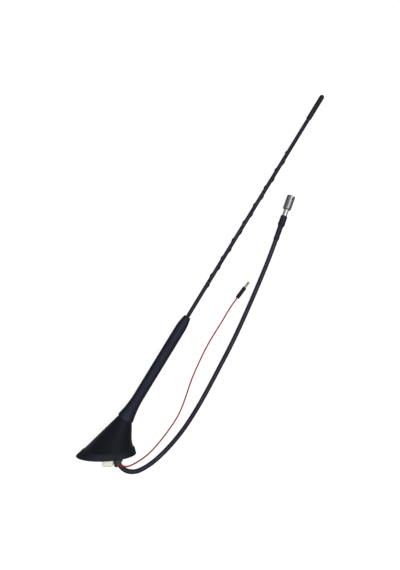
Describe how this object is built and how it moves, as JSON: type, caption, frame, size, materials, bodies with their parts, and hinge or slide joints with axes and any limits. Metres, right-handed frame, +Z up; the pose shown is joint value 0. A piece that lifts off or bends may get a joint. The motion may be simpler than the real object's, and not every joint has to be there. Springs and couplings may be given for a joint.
{
  "type": "vehicle roof antenna",
  "caption": "Oval sealed base with a slanted screw-on rod mast that carries a helical wind ridge, a coaxial lead with plug and a supply wire with bullet pin.",
  "frame": {"origin": "on the table, in the middle of the box round base and mast (leads left out)", "axes": "+Z up from the table on which the loose antenna lies on its side, +Y from the base towards the tip of the mast, +X towards the vehicle's rear"},
  "size_m": [0.2664, 0.3963, 0.0464],
  "materials": {
    "cover_plastic": "fine grained moulding",
    "gasket_rubber": "smooth moulded rubber",
    "die_cast_zinc": "bare zinc die casting",
    "white_nylon": "natural nylon",
    "grommet_rubber": "soft moulded rubber",
    "circuit_board": "solder mask on laminate",
    "tinned_sheet": "tinned sheet",
    "spring_bronze": "rolled bronze",
    "capacitor_can": "drawn can",
    "ferrite": "sintered ferrite",
    "plated_steel": "bright plating",
    "turned_brass": "turned",
    "boot_rubber": "satin moulded rubber",
    "glass_fibre": "drawn rod",
    "copper_wire": "enamelled wire",
    "sleeve_plastic": "extruded sleeve",
    "cable_jacket": "extruded jacket",
    "plug_boot": "shrunk sleeve",
    "nickel_plating": "bright nickel",
    "white_insulator": "white insulator",
    "plated_contact": "plated contact",
    "red_insulation": "dark red insulation",
    "black_vinyl": "moulded sleeve",
    "bullet_metal": "nickel plated"
  },
  "bodies": {
    "base": {"gasket": "gasket_rubber", "cover": "cover_plastic", "base_plate": "die_cast_zinc", "locating_block": "white_nylon", "cable_grommet": "grommet_rubber", "amplifier_board": "circuit_board", "shield_can": "tinned_sheet", "feed_strip": "spring_bronze", "supply_capacitor": "capacitor_can", "supply_choke": "ferrite", "cover_screws": "plated_steel", "board_screws": "plated_steel", "mast_socket": "turned_brass", "coax_cable": "cable_jacket", "coax_boot": "plug_boot", "plug_ferrule": "nickel_plating", "plug_shell": "nickel_plating", "plug_insulator": "white_insulator", "plug_contact": "plated_contact", "power_wire": "red_insulation", "bullet_sleeve": "black_vinyl", "bullet_pin": "bullet_metal"},
    "seal": {"mast_seal": "gasket_rubber"},
    "mast": {"mast_stud": "plated_steel", "mast_ferrule": "turned_brass", "mast_boot": "boot_rubber", "rod_core": "glass_fibre", "rod_winding": "copper_wire", "rod_sleeve": "sleeve_plastic", "tip_cap": "sleeve_plastic"}
  },
  "joints": [
    {"name": "mast_lift", "type": "slide", "parent": "base", "child": "seal", "axis": [0.5358, 0.843, -0.0467], "range_m": [0, 0.008]},
    {"name": "mast_turn", "type": "hinge", "parent": "seal", "child": "mast", "pos_m": [-0.08233, -0.14422, 0.0212], "axis": [0.5358, 0.843, -0.0467], "range_deg": [0, 3601]}
  ],
  "couplings": [
    {"joint": "mast_turn", "follows": "mast_lift", "rad_per_m": 7854}
  ]
}
